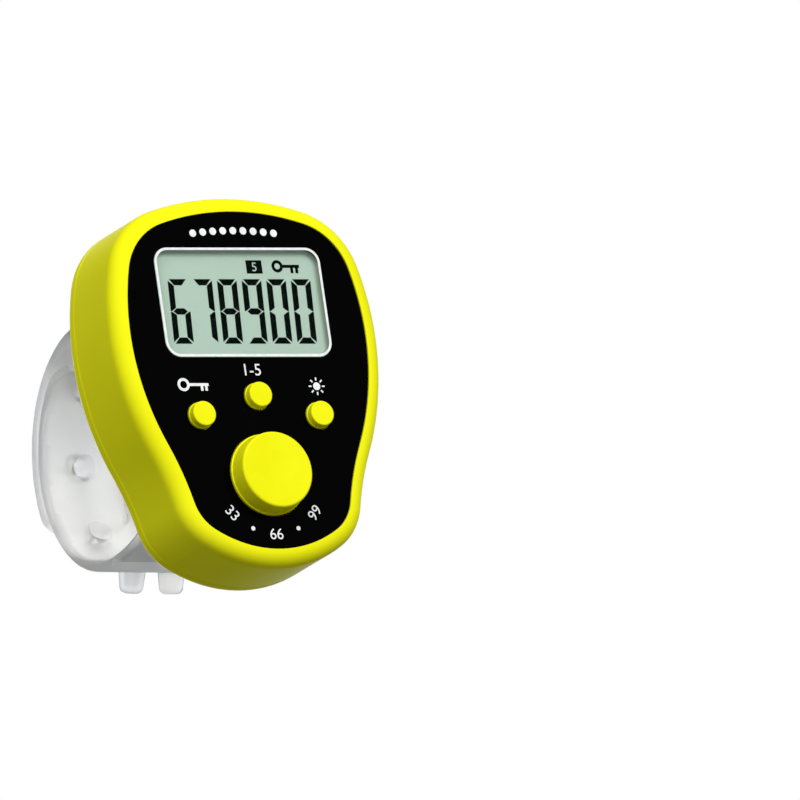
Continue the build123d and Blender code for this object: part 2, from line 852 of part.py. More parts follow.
with BuildPart() as strap_upper:
    with BuildSketch(Plane.YZ):
        add(band_face(upper_inner, upper_outer, upper_tip_angle, 1, 0))
    extrude(amount=band_width / 2, both=True)
    fillet(tip_edges(strap_upper, (upper_inner + upper_outer) / 2, upper_tip_angle), upper_tip_corner)
    fillet(side_edges(strap_upper, upper_thickness, upper_tip_corner), band_edge_round)
    for side in (-1, 1):
        with BuildSketch(Plane.YZ.offset(side * band_width / 2)):
            add(pocket_face(upper_inner, 1, 0))
        extrude(amount=-side * pocket_depth, mode=Mode.SUBTRACT)
    with BuildSketch(level(back_y)):
        with Locations((0, slot_places[0][0])):
            Rectangle(stem_width, slot_places[0][1])
    extrude(amount=back_y - foot_y)
    with BuildSketch(level(foot_y)):
        with Locations((0, slot_places[0][0])):
            Rectangle(stem_width + 2 * foot_lip, slot_places[0][1] + 2 * foot_lip)
    extrude(amount=foot_thickness)
    for angle in hole_angles:
        with BuildSketch(radial_plane(upper_inner - overrun, angle)):
            Circle(strap_hole / 2)
        extrude(amount=upper_thickness + 2 * overrun, mode=Mode.SUBTRACT)
parts["strap_upper"] = strap_upper

with BuildPart() as strap_lower:
    with BuildSketch(Plane.YZ):
        add(band_face(loop_radius, lower_outer, lower_tip_angle, -1, lower_root_slope))
    extrude(amount=band_width / 2, both=True)
    fillet(tip_edges(strap_lower, (loop_radius + lower_outer) / 2, -lower_tip_angle), lower_tip_corner)
    fillet(side_edges(strap_lower, lower_thickness, lower_tip_corner), band_edge_round)
    for side in (-1, 1):
        with BuildSketch(Plane.YZ.offset(side * band_width / 2)):
            add(pocket_face(loop_radius, -1, lower_root_slope))
        extrude(amount=-side * pocket_depth, mode=Mode.SUBTRACT)
    with BuildSketch(level(back_y)):
        with Locations((0, slot_places[1][0])):
            Rectangle(stem_width, slot_places[1][1])
    extrude(amount=back_y - foot_y)
    with BuildSketch(level(foot_y)):
        with Locations((0, slot_places[1][0])):
            Rectangle(stem_width + 2 * foot_lip, slot_places[1][1] + 2 * foot_lip)
    extrude(amount=foot_thickness)
    for angle in peg_angles:
        with BuildSketch(radial_plane(loop_radius + lower_thickness / 2, angle)):
            Circle(peg_root / 2)
        with BuildSketch(radial_plane(lower_outer + peg_length, angle)):
            Circle(peg_tip / 2)
        loft()
    circles = strap_lower.edges().filter_by(GeomType.CIRCLE)
    tip_circles = circles.filter_by(lambda edge: abs(edge.radius - peg_tip / 2) < stop_clearance)
    fillet(tip_circles, peg_tip_round)
    # The peg on the thick root is solid, the others are hollow
    for angle in peg_angles[1:]:
        with BuildSketch(radial_plane(loop_radius - overrun, angle)):
            Circle(peg_mouth / 2)
        with BuildSketch(radial_plane(lower_outer, angle)):
            Circle(peg_throat / 2)
        loft(mode=Mode.SUBTRACT)
        with BuildSketch(radial_plane(lower_outer, angle)):
            Circle(peg_throat / 2)
        with BuildSketch(radial_plane(lower_outer + peg_length - peg_skin, angle)):
            Circle(peg_core_end / 2)
        loft(mode=Mode.SUBTRACT)
parts["strap_lower"] = strap_lower

# One file for each piece
os.makedirs("parts", exist_ok=True)
for name, piece in parts.items():
    piece.part.label = name
    export_step(piece.part, f"parts/{name}.step")
    print(name, round(piece.part.volume, 2))
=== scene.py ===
# %% [markdown]
# # A finger counter, dressed for its photograph
# The solids come from CAD: a yellow case, a black face with a display, four buttons, and a strap that
# closes round a finger. Blender adds what CAD leaves out: the finishes, the digits on the display, the
# marks printed on the face, and the soft translucent strap. Every size here is in millimetres, and the
# helper that makes a mesh turns them into metres, so the numbers read like those on a drawing.

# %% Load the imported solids
import json

import bmesh
import bpy
import numpy as np
from mathutils import Matrix, Vector


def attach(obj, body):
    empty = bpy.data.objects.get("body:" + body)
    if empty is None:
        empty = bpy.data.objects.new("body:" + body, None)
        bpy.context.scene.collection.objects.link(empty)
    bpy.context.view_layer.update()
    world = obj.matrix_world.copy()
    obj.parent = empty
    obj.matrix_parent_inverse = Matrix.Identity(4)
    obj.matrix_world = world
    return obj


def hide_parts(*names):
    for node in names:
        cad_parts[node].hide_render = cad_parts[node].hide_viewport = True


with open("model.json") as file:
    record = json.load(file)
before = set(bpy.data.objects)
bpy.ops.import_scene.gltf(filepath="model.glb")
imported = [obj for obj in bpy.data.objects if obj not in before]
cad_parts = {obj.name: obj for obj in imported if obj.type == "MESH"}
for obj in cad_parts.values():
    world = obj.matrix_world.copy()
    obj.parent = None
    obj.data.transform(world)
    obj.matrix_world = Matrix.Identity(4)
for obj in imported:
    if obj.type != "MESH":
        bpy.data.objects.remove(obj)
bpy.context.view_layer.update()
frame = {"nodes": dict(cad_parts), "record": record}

mm = 0.001

# %% [markdown]
# ## Camera
# The picture shows the counter from its left and a little from below, with hardly any perspective. Two
# directions, fitted to points on the case, are the camera's forward and right; up is square to both. A long
# lens far away keeps the lines parallel. Shifting the camera sideways, and not turning it, puts the counter
# at its place left of the middle.

# %% Camera
pixels_per_mm = 9.64
frame_pixels = 800
face_y = -26.05
face_middle = Vector((0, face_y, 0))
face_middle_pixel = (254.4, 380.3)
camera_distance = 3800.0

forward = Vector((0.491, 0.835, 0.246)).normalized()
right = Vector((0.871, -0.471, -0.140))
right = (right - forward * right.dot(forward)).normalized()
up = (-forward).cross(right)
aside = (frame_pixels / 2 - face_middle_pixel[0]) / pixels_per_mm
down = (frame_pixels / 2 - face_middle_pixel[1]) / pixels_per_mm
eye = face_middle + right * aside - up * down - forward * camera_distance

camera = bpy.data.objects.new("camera", bpy.data.cameras.new("camera"))
camera.data.sensor_width = 36.0
camera.data.lens = camera.data.sensor_width * camera_distance * pixels_per_mm / frame_pixels
camera.data.clip_end = 10.0
turn = Matrix((right, up, -forward)).transposed().to_4x4()
camera.matrix_world = Matrix.Translation(eye * mm) @ turn
bpy.context.scene.collection.objects.link(camera)
bpy.context.scene.camera = camera
print("camera at", np.round(np.array(eye), 1), "mm, lens", round(camera.data.lens, 1))

# %% [markdown]
# ## From arrays to pieces
# Each new piece is one or more grids of points. A grid becomes quads between neighbouring rows and columns,
# and grids that share an edge are joined by merging points that fall together. Writing the quads as array
# slices keeps Python loops away from the vertices.

# %% Helpers that turn grids into mesh pieces
same_point = 0.0005


def grid_quads(rows, columns, close):
    """Quads between neighbours on a rows x columns grid; close joins the last column to the first."""
    index = np.arange(rows * columns).reshape(rows, columns)
    if close:
        index = np.hstack([index, index[:, :1]])
    corners = [index[:-1, :-1], index[:-1, 1:], index[1:, 1:], index[1:, :-1]]
    return np.stack(corners, axis=-1).reshape(-1, 4)


def stack_parts(parts):
    """Joins (points, faces) pairs into one pair, moving each face list on by the points before it."""
    points, faces, start = [], [], 0
    for part_points, part_faces in parts:
        points.append(np.asarray(part_points, float).reshape(-1, 3))
        faces += [[int(i) + start for i in face] for face in part_faces]
        start += len(points[-1])
    return np.vstack(points), faces


def add_piece(name, parts, material, body="case", sharp_angle=35.0, replaces=()):
    """Mesh piece from (points, faces) pairs in millimetres: doubles merged and faces turned outwards."""
    points, faces = stack_parts(parts)
    mesh = bpy.data.meshes.new(name)
    mesh.from_pydata((points * mm).tolist(), [], faces)
    work = bmesh.new()
    work.from_mesh(mesh)
    bmesh.ops.remove_doubles(work, verts=work.verts, dist=same_point * mm)
    bmesh.ops.dissolve_degenerate(work, edges=work.edges, dist=same_point * mm)
    bmesh.ops.recalc_face_normals(work, faces=work.faces)
    work.to_mesh(mesh)
    work.free()
    mesh.shade_smooth()
    mesh.set_sharp_from_angle(angle=np.radians(sharp_angle))
    mesh.materials.append(material)
    piece = bpy.data.objects.new(name, mesh)
    bpy.context.scene.collection.objects.link(piece)
    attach(piece, body)
    if replaces:
        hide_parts(*replaces)
    print(name, "points", len(mesh.vertices), "faces", len(mesh.polygons))
    return piece


print("points closer than", same_point, "mm are merged")

# %% [markdown]
# ## Shared effects
# Moulded plastic is never perfectly even: its tone drifts a little across the part, its gloss changes, and
# the tool leaves a faint orange-peel texture. That is one node group with named inputs, so that the case,
# the buttons, the strap and the inner parts can each use it at their own strength. A second group lays fine
# dust and finger marks over glossy faces by changing the roughness alone.

# %% Helpers for node trees
def new_group(name, inputs, outputs):
    """Shader node group with the given (name, socket type, default) inputs and (name, type) outputs."""
    group = bpy.data.node_groups.new(name, "ShaderNodeTree")
    for socket_name, kind, default in inputs:
        socket = group.interface.new_socket(socket_name, in_out="INPUT", socket_type=kind)
        if default is not None:
            socket.default_value = default
    for socket_name, kind in outputs:
        group.interface.new_socket(socket_name, in_out="OUTPUT", socket_type=kind)
    enter = group.nodes.new("NodeGroupInput")
    leave = group.nodes.new("NodeGroupOutput")
    return group, enter, leave


def feed(tree, node, values):
    """Feeds a node's inputs, by name or number: sockets are linked, other values set. Gives its outputs."""
    for name, value in values.items():
        if isinstance(value, bpy.types.NodeSocket):
            tree.links.new(value, node.inputs[name])
        else:
            node.inputs[name].default_value = value
    return node.outputs


def noise(tree, vector, scale, detail=3.0):
    """Value of a noise texture read at a vector."""
    node = tree.nodes.new("ShaderNodeTexNoise")
    return feed(tree, node, {"Vector": vector, "Scale": scale, "Detail": detail})["Fac"]


def remap(tree, value, low, high, start=0.35, end=0.65):
    """Value stretched from start..end to low..high, and clipped there."""
    node = tree.nodes.new("ShaderNodeMapRange")
    ends = {"From Min": start, "From Max": end, "To Min": low, "To Max": high}
    return feed(tree, node, {"Value": value, **ends})["Result"]


def mix_colour(tree, share, first, second):
    """Colour from first to second by share, which are inputs 0, 6 and 7 of a colour mix."""
    node = tree.nodes.new("ShaderNodeMix")
    node.data_type = "RGBA"
    return feed(tree, node, {0: share, 6: first, 7: second})[2]


def calculate(tree, operation, first, second):
    """Result of a Math node, such as the product or the larger of two values."""
    node = tree.nodes.new("ShaderNodeMath")
    node.operation = operation
    return feed(tree, node, {0: first, 1: second})[0]


# %% Node group: moulded grain
grain, enter, leave = new_group(
    "moulded_grain",
    [("Vector", "NodeSocketVector", None), ("Light Colour", "NodeSocketColor", (1, 1, 1, 1)),
     ("Dark Colour", "NodeSocketColor", (0.8, 0.8, 0.8, 1)), ("Drift Scale", "NodeSocketFloat", 90.0),
     ("Grain Scale", "NodeSocketFloat", 4000.0), ("Smooth", "NodeSocketFloat", 0.25),
     ("Rough", "NodeSocketFloat", 0.4)],
    [("Color", "NodeSocketColor"), ("Roughness", "NodeSocketFloat"), ("Height", "NodeSocketFloat")],
)
drift = noise(grain, enter.outputs["Vector"], enter.outputs["Drift Scale"])
peel = noise(grain, enter.outputs["Vector"], enter.outputs["Grain Scale"], detail=2.0)
drift_share = remap(grain, drift, 0.0, 1.0)
tone = mix_colour(grain, drift_share, enter.outputs["Light Colour"], enter.outputs["Dark Colour"])
gloss = remap(grain, drift, enter.outputs["Smooth"], enter.outputs["Rough"])
feed(grain, leave, {"Color": tone, "Roughness": gloss, "Height": peel})
print("group", grain.name, [socket.name for socket in grain.interface.items_tree])

# %% Node group: finger marks
marks, enter, leave = new_group(
    "finger_marks",
    [("Vector", "NodeSocketVector", None), ("Clean", "NodeSocketFloat", 0.1),
     ("Marked", "NodeSocketFloat", 0.3)],
    [("Roughness", "NodeSocketFloat")],
)
blotch_scale, ridge_scale = 160.0, 2500.0
blotch = noise(marks, enter.outputs["Vector"], blotch_scale, detail=2.0)
ridge = noise(marks, enter.outputs["Vector"], ridge_scale, detail=1.0)
blotch_share, ridge_share = remap(marks, blotch, 0.0, 1.0, start=0.5, end=0.72), remap(marks, ridge, 0.4, 1.0)
touched = calculate(marks, "MULTIPLY", blotch_share, ridge_share)
marked = remap(marks, touched, enter.outputs["Clean"], enter.outputs["Marked"], start=0.0, end=1.0)
feed(marks, leave, {"Roughness": marked})
print("group", marks.name, [socket.name for socket in marks.interface.items_tree])

# %% [markdown]
# ## Finishes
# A finish is a material with one Principled shader. Numbers that are the same all over stay on the shader's
# own sockets; only what changes over the surface arrives through the groups.

# %% Helpers for finishes
def start_finish(name):
    """Empty node material: gives its node tree, the Principled shader and the object coordinates."""
    material = bpy.data.materials.new(name)
    material.use_nodes = True
    tree = material.node_tree
    shader = tree.nodes["Principled BSDF"]
    coordinates = tree.nodes.new("ShaderNodeTexCoord").outputs["Object"]
    print("finish", name)
    return material, tree, shader, coordinates


def place_group(tree, group, values, coordinates):
    """Group node with its named inputs set, reading the object coordinates; gives its outputs."""
    node = tree.nodes.new("ShaderNodeGroup")
    node.node_tree = group
    return feed(tree, node, {"Vector": coordinates, **values})


def bump(tree, height, strength, distance):
    """Normal from a Bump node that reads a height."""
    node = tree.nodes.new("ShaderNodeBump")
    return feed(tree, node, {"Height": height, "Strength": strength, "Distance": distance * mm})["Normal"]


def srgb(red, green, blue):
    """Linear RGBA from 0..255 display values: the lower part straight, the rest to the power 2.4."""
    share = np.array([red, green, blue]) / 255
    linear = np.where(share <= 0.04045, share / 12.92, ((share + 0.055) / 1.055) ** 2.4)
    return (*(float(value) for value in linear), 1.0)


def moulded(name, light, dark, smooth, rough, drift_scale=90.0, grain_scale=4000.0, relief=0.1):
    """Moulded plastic, rubber or epoxy: drifting tone and gloss, with a faint peel in the surface."""
    peel_depth = 0.004
    material, tree, shader, coordinates = start_finish(name)
    values = {"Light Colour": light, "Dark Colour": dark, "Smooth": smooth, "Rough": rough,
              "Drift Scale": drift_scale, "Grain Scale": grain_scale}
    look = place_group(tree, grain, values, coordinates)
    normal = bump(tree, look["Height"], relief, peel_depth)
    feed(tree, shader, {"Base Color": look["Color"], "Roughness": look["Roughness"], "Normal": normal})
    return material, tree, shader


# %% [markdown]
# ## Yellow case and buttons
# The case and the caps are moulded in the same lemon ABS. The case came from a polished tool, the caps from
# a slightly etched one, so the caps are a touch duller and their grain is coarser. Hardly any white light is
# mirrored, because a stronger mirror would wash the yellow out.

# %% Yellow plastics
lemon, lemon_deep = srgb(251, 251, 30), srgb(245, 244, 22)
mirror = {"Specular IOR Level": 0.006, "Specular Tint": (1.0, 1.0, 0.3, 1.0)}
case_yellow, tree, shader = moulded(
    "case_yellow", lemon, lemon_deep, smooth=0.26, rough=0.34,
    drift_scale=70.0, grain_scale=3500.0, relief=0.12,
)
feed(tree, shader, mirror)
button_yellow, tree, shader = moulded(
    "button_yellow", lemon, lemon_deep, smooth=0.36, rough=0.46,
    drift_scale=200.0, grain_scale=6000.0, relief=0.25,
)
feed(tree, shader, mirror)

# %% [markdown]
# ## Black face and clear window
# The face is a thin acrylic plate, printed black from behind, so it is deep black with a clear gloss over it
# and finger marks in that gloss. The window is the same acrylic left clear: it only bends light and mirrors
# a little, which is what transmission does. Rays that carry light to the display behind it go straight on.

# %% Black face
panel_black, tree, shader, coordinates = start_finish("panel_black")
black_deep, black_light, cloud_scale = (0.0003, 0.0003, 0.0004, 1), (0.0009, 0.0009, 0.001, 1), 300.0
tone = mix_colour(tree, noise(tree, coordinates, cloud_scale), black_deep, black_light)
gloss = place_group(tree, marks, {"Clean": 0.1, "Marked": 0.22}, coordinates)["Roughness"]
feed(tree, shader, {"Base Color": tone, "Roughness": gloss, "Specular IOR Level": 0.012})

# %% Clear window
window_clear, tree, shader, coordinates = start_finish("window_clear")
gloss = place_group(tree, marks, {"Clean": 0.0, "Marked": 0.04}, coordinates)["Roughness"]
light_path = tree.nodes.new("ShaderNodeLightPath").outputs
lighting = calculate(tree, "MAXIMUM", light_path["Is Shadow Ray"], light_path["Is Diffuse Ray"])
feed(tree, shader, {
    "Base Color": (0.98, 0.99, 0.985, 1), "Roughness": gloss, "Transmission Weight": 1.0, "IOR": 1.05,
    "Specular IOR Level": 0.1, "Alpha": remap(tree, lighting, 1.0, 0.0, start=0.0, end=1.0),
})

# %% [markdown]
# ## Display film and ink
# A reflective liquid crystal display is a grey-green film with dark shapes that switch on in it. The film has
# a fine vertical weave from its polariser, which fades in and out over soft clouds. A wave texture gives the
# weave and a noise the clouds.

# %% Display film and ink
lcd_film, tree, shader, coordinates = start_finish("lcd_film")
stripes = tree.nodes.new("ShaderNodeTexWave")
stripes.bands_direction = "X"
stripe = feed(tree, stripes, {"Vector": coordinates, "Scale": 2200.0, "Distortion": 1.5})["Fac"]
film_cloud_scale = 120.0
cloud = noise(tree, coordinates, film_cloud_scale, detail=2.0)
film_light, film_dark = srgb(180, 203, 187), srgb(170, 194, 178)
tone = mix_colour(tree, cloud, film_light, mix_colour(tree, stripe, film_light, film_dark))
gloss = remap(tree, cloud, 0.3, 0.45)
feed(tree, shader, {"Base Color": tone, "Roughness": gloss, "Specular IOR Level": 0.1})
lcd_ink, tree, shader = moulded(
    "lcd_ink", srgb(6, 14, 10), srgb(10, 18, 15), smooth=0.35, rough=0.5,
    drift_scale=900.0, grain_scale=9000.0, relief=0.02,
)
feed(tree, shader, {"Specular IOR Level": 0.0})

# %% [markdown]
# ## Printing ink on the face
# The marks are screen printed in white: a thin film of ink, opaque, slightly uneven where the mesh of the
# screen left less of it.

# %% Printing ink
print_white, tree, shader = moulded(
    "print_white", srgb(246, 247, 247), srgb(228, 231, 231), smooth=0.4, rough=0.55,
    drift_scale=1500.0, grain_scale=12000.0, relief=0.1,
)

# %% [markdown]
# ## Translucent strap
# The strap is soft milky vinyl. Light goes into it, scatters and comes out blurred, so the case and the pegs
# show through as soft shadows. A rough transmission with a scattering white under it gives that look. Painted
# shade greys the base colour on the sides, the root, the gusset's web, the funnels and the top of the loop;
# how much is a number stored with each point of the mesh.

# %% Strap vinyl
strap_clear, tree, shader = moulded(
    "strap_clear", srgb(252, 252, 253), srgb(247, 248, 250), smooth=0.75, rough=0.9,
    drift_scale=120.0, grain_scale=3000.0, relief=0.12,
)
# Painted shade: the grey that the base colour turns to where shade is painted on the strap.
painted_shade_grey = srgb(142, 143, 145)
grey = tree.nodes.new("ShaderNodeAttribute")
grey.attribute_name = "painted_shade_share"
vinyl_tone = shader.inputs["Base Color"].links[0].from_socket
feed(tree, shader, {
    "Base Color": mix_colour(tree, grey.outputs["Fac"], vinyl_tone, painted_shade_grey),
    "IOR": 1.1, "Transmission Weight": 0.75,
    "Subsurface Weight": 1.0, "Subsurface Radius": (1.0, 1.0, 1.0), "Subsurface Scale": 1.5 * mm,
})

# %% [markdown]
# ## Inside parts
# Most of these show only when the case is taken apart, but each still has its own finish. Reflector, light
# guide, epoxy, ceramic and rubber differ only in tone and gloss, so a table of looks is enough for them:
# light tone, dark tone, and the roughness of the smoothest and of the roughest patch.

# %% Plain inner finishes
inner = {
    "reflector_silver": (srgb(205, 208, 205), srgb(190, 194, 190), 0.2, 0.35),
    "light_guide": (srgb(240, 243, 240), srgb(228, 232, 230), 0.3, 0.5),
    "led_white": (srgb(250, 240, 200), srgb(240, 225, 160), 0.25, 0.4),
    "chip_epoxy": (srgb(14, 14, 15), srgb(24, 24, 25), 0.25, 0.5),
    "chip_ceramic": (srgb(182, 160, 130), srgb(160, 138, 108), 0.5, 0.7),
    "keypad_rubber": (srgb(205, 205, 202), srgb(190, 190, 186), 0.5, 0.7),
    "carbon_pill": (srgb(22, 22, 22), srgb(34, 34, 34), 0.6, 0.8),
}
finishes = {slot: moulded(slot, *look)[0] for slot, look in inner.items()}

# %% [markdown]
# ### Plated steel
# Cells, contacts and screws are nickel plated steel with fine scratches. A noise that is squeezed along one
# or two axes draws the scratches out along the others, and each part has its own direction.

# %% Plated steel
def steel(name, light, dark, smooth, rough, squeeze):
    """Plated steel: metallic, with fine scratches drawn out by a noise that is squeezed along some axes."""
    scratch_scale, scratch_relief, scratch_depth = 1200.0, 0.1, 0.003
    material, tree, shader, coordinates = start_finish(name)
    mapping = feed(tree, tree.nodes.new("ShaderNodeMapping"), {"Vector": coordinates, "Scale": squeeze})
    scratch = noise(tree, mapping["Vector"], scratch_scale)
    feed(tree, shader, {
        "Base Color": mix_colour(tree, scratch, light, dark), "Metallic": 1.0,
        "Roughness": remap(tree, scratch, smooth, rough),
        "Normal": bump(tree, scratch, scratch_relief, scratch_depth),
    })
    return material


steels = {
    "cell_steel": (srgb(222, 222, 218), srgb(200, 200, 196), 0.2, 0.35, (1, 1, 12)),
    "contact_metal": (srgb(225, 222, 212), srgb(204, 200, 190), 0.2, 0.3, (8, 1, 1)),
    "screw_steel": (srgb(205, 206, 208), srgb(170, 172, 176), 0.22, 0.38, (1, 6, 6)),
}
for slot, look in steels.items():
    finishes[slot] = steel(slot, *look)

# %% [markdown]
# ### Glass, board and zebra rubber
# The two glasses of the display are faintly green. The circuit board has solder mask over faint copper
# tracks, for which the mortar of a brick texture serves, turned so that it lies in the board's plane. The
# zebra connector is rubber in thin layers, with and without carbon, which a wave texture draws.

# %% Display glass
lcd_glass, tree, shader, coordinates = start_finish("lcd_glass")
gloss = place_group(tree, marks, {"Clean": 0.0, "Marked": 0.03}, coordinates)["Roughness"]
feed(tree, shader, {
    "Base Color": (0.86, 0.94, 0.9, 1), "Roughness": gloss, "Transmission Weight": 1.0, "IOR": 1.52,
})

# %% Circuit board
board_green, tree, shader, coordinates = start_finish("board_green")
upright = {"Vector": coordinates, "Rotation": (np.radians(90), 0, 0)}
turned = feed(tree, tree.nodes.new("ShaderNodeMapping"), upright)["Vector"]
tracks = feed(tree, tree.nodes.new("ShaderNodeTexBrick"), {
    "Vector": turned, "Scale": 260.0, "Mortar Size": 0.04,
    "Color1": srgb(18, 96, 50), "Color2": srgb(14, 84, 42), "Mortar": srgb(46, 140, 84),
})
mask_scale = 400.0
gloss = remap(tree, noise(tree, coordinates, mask_scale), 0.3, 0.45)
feed(tree, shader, {"Base Color": tracks["Color"], "Roughness": gloss})

# %% Zebra rubber
zebra_rubber, tree, shader, coordinates = start_finish("zebra_rubber")
layer = feed(tree, tree.nodes.new("ShaderNodeTexWave"), {"Vector": coordinates, "Scale": 1600.0})["Fac"]
plain_layer, carbon_layer = srgb(240, 200, 210), srgb(30, 28, 30)
tone = mix_colour(tree, layer, plain_layer, carbon_layer)
feed(tree, shader, {"Base Color": tone, "Roughness": remap(tree, layer, 0.5, 0.65)})

# %% Give every solid its finish
finishes.update(
    case_yellow=case_yellow, button_yellow=button_yellow, panel_black=panel_black,
    window_clear=window_clear, lcd_film=lcd_film, strap_clear=strap_clear,
    lcd_glass=lcd_glass, board_green=board_green, zebra_rubber=zebra_rubber,
)
for subpart in frame["record"]["subparts"]:
    solid = frame["nodes"][subpart["node"]]
    solid.material_slots[0].material = finishes[subpart["material_slot"]]

# %% [markdown]
# ## Strap bands
# Each band leaves the case as a thick root, thins along a curved gusset and then follows the finger in a
# circle. Seen from the side, a band is two lines: the one that touches the finger and the outer one. Both
# are functions of the distance along the band, so any point of either face is easy to find again when a
# hole or a peg has to be set into it. Negative distance is the straight root, positive the circle.

# %% Lines of the bands, seen from the side
loop_radius, lower_thickness, upper_thickness, layer_gap = 11.5, 1.1, 1.3, 0.1
lower_outer = loop_radius + lower_thickness
upper_inner = lower_outer + layer_gap
upper_outer = upper_inner + upper_thickness
root_length, band_half_width, band_edge = 16.0, 5.0, 0.3
gusset_drop, gusset_reach, gusset_round = 2.8, 10.0, 5.0
gusset_radius = (gusset_reach**2 + gusset_drop**2) / (2 * gusset_drop)
upper_slope, lower_slope = 0.0, np.radians(16.5)


def gusset_height(y, top):
    """Height of the inner line over the root: flat, then a small round, then the gusset's arc up to top."""
    flat = top - gusset_drop
    both_radii = gusset_radius + gusset_round
    round_y = -np.sqrt(both_radii**2 - (both_radii - gusset_drop) ** 2)
    meet_y = round_y * gusset_radius / both_radii
    small = flat + gusset_round - np.sqrt(np.clip(gusset_round**2 - (y - round_y) ** 2, 0, None))
    large = top - gusset_radius + np.sqrt(gusset_radius**2 - np.clip(y, -gusset_reach, 0) ** 2)
    return np.where(y < round_y, flat, np.where(y < meet_y, small, large))


def band_line(s, radius, is_inner, reference, slope):
    """Points (Y, Z) at distance s: gusset or sloping straight line, then the circle that the line touches."""
    turned = np.clip(s, 0, None) / reference
    root = np.clip(s, None, 0)
    if is_inner:
        height, reach = gusset_height(root, radius), radius
    else:
        height = (radius - np.sin(slope) * root) / np.cos(slope)
        reach = radius / np.cos(np.clip(slope - turned, 0, None))
    y = np.where(s < 0, root, reach * np.sin(turned))
    z = np.where(s < 0, height, reach * np.cos(turned))
    return np.stack([y, z], axis=-1)


print("gusset radius", round(gusset_radius, 2))

# %% [markdown]
# ### Cross-section of a band
# The section is a flat rectangle with rounded edges and, in the gusset, a hollow in each side. Written with
# shares for each of its points, of the half width, the edge radius, the thickness and so on, the same list of
# points makes the thick root, the thin band and the narrow rounded tip.

# %% Section shares
face_points, corner_points = 25, 5
face_share = np.linspace(-1, 1, face_points)
quarter = np.radians(np.linspace(0, 90, corner_points + 2)[1:-1])


def half_section():
    """Shares along one face, its corner, side and corner, one row for each of the measures they multiply."""
    one, zero = np.ones(corner_points), np.zeros(corner_points)
    face = np.stack([face_share, -face_share] + [0 * face_share] * 5)
    first = np.stack([one, np.sin(quarter) - 1, zero, 1 - np.cos(quarter), zero, zero, zero])
    # Half width, edge across, thickness, edge through, lip, band under the hollow, depth of the hollow
    side = np.array([
        (1, 0, 0, 1, 0, 0, 0), (1, 0, 0, 0, 1, 0, 0), (1, 0, 0, 0, 1, 0, -1),
        (1, 0, 1, 0, 0, -1, -1), (1, 0, 1, 0, 0, -1, 0), (1, 0, 1, -1, 0, 0, 0),
    ]).T
    second = np.stack([one, np.cos(quarter) - 1, one, np.sin(quarter) - 1, zero, zero, zero])
    return np.hstack([face, first, side, second])


def band_rings(inner_line, outer_line, half_width, edge, hollow):
    """Sections along a band: every measure of a station times its shares, added up across and through."""
    through = outer_line - inner_line
    thickness = np.linalg.norm(through, axis=1)
    lip, floor_band, sunk = hollow.T
    x = np.stack([half_width, edge, sunk], axis=1) @ section[[0, 1, 6]]
    depth = np.stack([thickness, edge, lip, floor_band], axis=1) @ section[2:6]
    flat = inner_line[:, None, :] + depth[..., None] * (through / thickness[:, None])[:, None, :]
    return np.concatenate([x[..., None], flat], axis=-1)


half = half_section()
other_half = np.stack([-half[0], -half[1], 1 - half[2], -half[3], -half[5], -half[4], -half[6]])
section = np.hstack([half, other_half])
outer_start = half.shape[1]
print("points in a section", section.shape[1])

# %% [markdown]
# ### Tiles for holes and pegs
# A round feature in a grid is made by taking out a rectangle of quads and filling it with rings: the
# outermost ring is the rectangle's border, the innermost a circle, and the rings between blend from one to
# the other. Further rings then carry the circle on, down a hole or up a peg.

# %% Rings of a tile
tile_reach = 2.3
tile_shares = np.linspace(1, 0, 7) ** 1.5


def tile_border(first_row, last_row, first_column):
    """Indices of the grid points round a rectangle of one face, in order, as (row, column) arrays."""
    across = np.arange(first_column, first_column + face_points)
    down = np.arange(first_row, last_row + 1)
    row = np.concatenate([0 * across[:-1] + first_row, down[:-1], 0 * across[:-1] + last_row, down[:0:-1]])
    column = np.concatenate([
        across[:-1], 0 * down[:-1] + across[-1], across[:0:-1], 0 * down[:-1] + across[0]
    ])
    return row, column


def tile_rings(s, x, centre, radius, face):
    """Rings from a border (s, x) to a circle: share times the border plus the rest times the circle."""
    angle = np.arctan2(x, s - centre)
    share = tile_shares[:, None]
    along = centre + share * (s - centre) + (1 - share) * radius * np.cos(angle)
    over = share * x + (1 - share) * radius * np.sin(angle)
    return np.concatenate([over[..., None], band_line(along, *face)], axis=-1), angle


def axis_rings(angle, turn, levels, radii, run=0.0):
    """Circles about a line square to the band: level times its direction plus radius times the angle."""
    out = np.array([0, np.sin(turn), np.cos(turn)])
    along = np.array([0, np.cos(turn), -np.sin(turn)])
    circle = np.cos(angle)[:, None] * along + np.sin(angle)[:, None] * np.array([1, 0, 0])
    centres = np.asarray(levels)[:, None, None] * out - run * along
    return centres + np.asarray(radii)[:, None, None] * circle


def ring_grid(rings):
    """Points and quads of rings stacked one after another, each closed round."""
    return rings, grid_quads(rings.shape[0], rings.shape[1], True).tolist()


print("rings in a tile", len(tile_shares))

# %% [markdown]
# ### Stations of a band
# The stations run from the foot inside the case, through the stem in its slot, along the root and round the
# loop to the tip, where the width follows a corner arc and the thickness closes with a small round. They lie
# closer together where the shape turns faster.

# %% Stations of a band
back_y, foot_y, foot_depth = -16.0, -17.25, 0.9
stem_half_width, stem_shoulder, stem_edge, foot_lip = 4.0, 0.6, 0.05, 0.6
hollow_depth, hollow_lip, hollow_end = 1.0, 0.4, 0.5
flat_side_share, least_edge, closing_degrees = 0.4, 0.02, 80
root_stations, loop_stations, corner_stations, closing_stations = 55, 100, 20, 8


